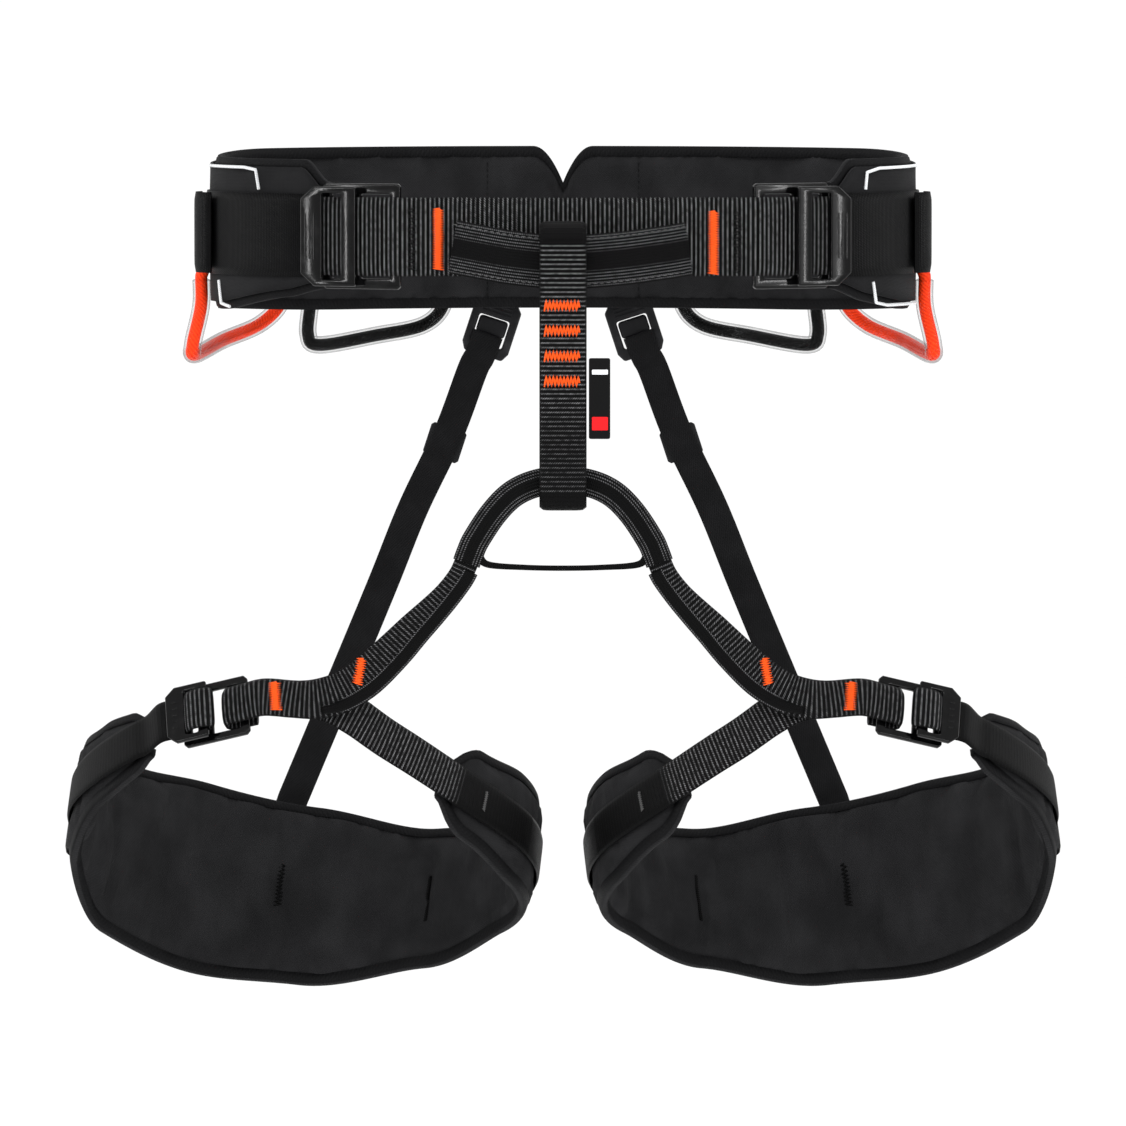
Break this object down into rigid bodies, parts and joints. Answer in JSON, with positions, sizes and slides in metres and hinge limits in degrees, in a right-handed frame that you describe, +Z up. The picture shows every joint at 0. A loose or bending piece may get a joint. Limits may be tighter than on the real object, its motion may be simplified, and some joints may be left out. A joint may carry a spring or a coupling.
{
  "type": "climbing harness",
  "caption": "Sit harness: padded waist belt with slide buckles, belay loop, bridge, leg loops, elastic risers and gear loops.",
  "frame": {"origin": "centre of the waist opening", "axes": "+X right as seen from in front, +Y back, +Z up"},
  "size_m": [0.5376, 0.2446, 0.4499],
  "materials": {
    "pad_lining": "matt charcoal knit lining over foam",
    "pad_shell": "matt black woven cover",
    "smooth_webbing": "fine-ribbed black webbing with a slight sheen",
    "ribbed_webbing": "black webbing with grey cross ribs",
    "sleeved_webbing": "black webbing with grey lengthwise ribs",
    "elastic": "matt black elastic",
    "buckle_metal": "gloss black anodised",
    "buckle_plastic": "satin dark grey moulding",
    "clear_tube": "clear flexible tube",
    "orange_cord": "bright orange cord",
    "black_cord": "black cord",
    "tag": "woven black tag with a red square"
  },
  "bodies": {
    "waist": {"belay_loop": "ribbed_webbing", "bridge_arch": "sleeved_webbing", "bridge_tape": "smooth_webbing", "front_belt": "ribbed_webbing", "haul_loop": "smooth_webbing", "riser_buckle_left": "buckle_plastic", "riser_buckle_right": "buckle_plastic", "riser_keeper_left": "smooth_webbing", "riser_keeper_right": "smooth_webbing", "riser_left": "elastic", "riser_right": "elastic", "riser_tab_left": "smooth_webbing", "riser_tab_right": "smooth_webbing", "tie_in_band": "sleeved_webbing", "waist_buckle_frame_left": "buckle_metal", "waist_buckle_frame_right": "buckle_metal", "waist_keeper_left": "smooth_webbing", "waist_keeper_right": "smooth_webbing", "waist_pad": "pad_lining", "waist_shell_left": "pad_shell", "waist_shell_right": "pad_shell", "waist_webbing": "smooth_webbing"},
    "leg_left": {"leg_pad_left": "pad_lining", "leg_outer_strap_left": "smooth_webbing", "leg_back_webbing_left": "smooth_webbing", "leg_inner_strap_left": "ribbed_webbing", "leg_keeper_left": "smooth_webbing", "leg_front_strap_left": "ribbed_webbing", "leg_buckle_frame_left": "buckle_metal"},
    "leg_slider_left": {"leg_buckle_slider_left": "buckle_metal"},
    "waist_slider_left": {"waist_buckle_slider_left": "buckle_metal"},
    "latch_left": {"riser_latch_left": "buckle_plastic"},
    "gear_front_left": {"gear_tube_front_left": "clear_tube", "gear_core_front_left": "orange_cord"},
    "gear_rear_left": {"gear_tube_rear_left": "clear_tube", "gear_core_rear_left": "black_cord"},
    "leg_right": {"leg_pad_right": "pad_lining", "leg_outer_strap_right": "smooth_webbing", "leg_back_webbing_right": "smooth_webbing", "leg_inner_strap_right": "ribbed_webbing", "leg_keeper_right": "smooth_webbing", "leg_front_strap_right": "ribbed_webbing", "leg_buckle_frame_right": "buckle_metal"},
    "leg_slider_right": {"leg_buckle_slider_right": "buckle_metal"},
    "waist_slider_right": {"waist_buckle_slider_right": "buckle_metal"},
    "latch_right": {"riser_latch_right": "buckle_plastic"},
    "gear_front_right": {"gear_tube_front_right": "clear_tube", "gear_core_front_right": "orange_cord"},
    "gear_rear_right": {"gear_tube_rear_right": "clear_tube", "gear_core_rear_right": "black_cord"},
    "tag": {"belay_tag": "tag"}
  },
  "joints": [
    {"name": "leg_swing_left", "type": "hinge", "parent": "waist", "child": "leg_left", "pos_m": [-0.0485, -0.114, -0.168], "axis": [1, 0, 0], "range_deg": [-30, 12], "stiffness_Nm_per_rad": 1.2, "springref_deg": 7.1, "deforming": ["riser_left"]},
    {"name": "leg_swing_right", "type": "hinge", "parent": "waist", "child": "leg_right", "pos_m": [0.0485, -0.114, -0.168], "axis": [1, 0, 0], "range_deg": [-30, 12], "stiffness_Nm_per_rad": 1.2, "springref_deg": 7.1, "deforming": ["riser_right"]},
    {"name": "waist_slider_left_slide", "type": "slide", "parent": "waist", "child": "waist_slider_left", "axis": [-0.9291, 0.3698, 0], "range_m": [0, 0.006]},
    {"name": "waist_slider_right_slide", "type": "slide", "parent": "waist", "child": "waist_slider_right", "axis": [0.8997, 0.4364, 0], "range_m": [0, 0.006]},
    {"name": "leg_slider_left_slide", "type": "slide", "parent": "leg_left", "child": "leg_slider_left", "axis": [-0.9328, 0.2715, -0.2368], "range_m": [0, 0.005]},
    {"name": "latch_left_press", "type": "slide", "parent": "waist", "child": "latch_left", "axis": [0, -1, 0], "range_m": [0, 0.0015], "stiffness_N_per_m": 400},
    {"name": "leg_slider_right_slide", "type": "slide", "parent": "leg_right", "child": "leg_slider_right", "axis": [0.9328, 0.2715, -0.2368], "range_m": [0, 0.005]},
    {"name": "latch_right_press", "type": "slide", "parent": "waist", "child": "latch_right", "axis": [0, -1, 0], "range_m": [0, 0.0015], "stiffness_N_per_m": 400},
    {"name": "gear_front_right_lift", "type": "hinge", "parent": "waist", "child": "gear_front_right", "pos_m": [0.1712, 0.03677, -0.024], "axis": [0.5291, -0.8485, 0], "range_deg": [0, 60]},
    {"name": "gear_front_left_lift", "type": "hinge", "parent": "waist", "child": "gear_front_left", "pos_m": [-0.1712, 0.03677, -0.024], "axis": [0.5291, 0.8485, 0], "range_deg": [0, 60]},
    {"name": "gear_rear_right_lift", "type": "hinge", "parent": "waist", "child": "gear_rear_right", "pos_m": [0.10093, 0.09168, -0.024], "axis": [0.9378, -0.3471, 0], "range_deg": [0, 60]},
    {"name": "gear_rear_left_lift", "type": "hinge", "parent": "waist", "child": "gear_rear_left", "pos_m": [-0.10093, 0.09168, -0.024], "axis": [0.9378, 0.3471, 0], "range_deg": [0, 60]},
    {"name": "belay_tag_flap", "type": "hinge", "parent": "waist", "child": "tag", "pos_m": [0.0134, -0.124, -0.083], "axis": [0, 0, 1], "range_deg": [-60, 60]}
  ]
}
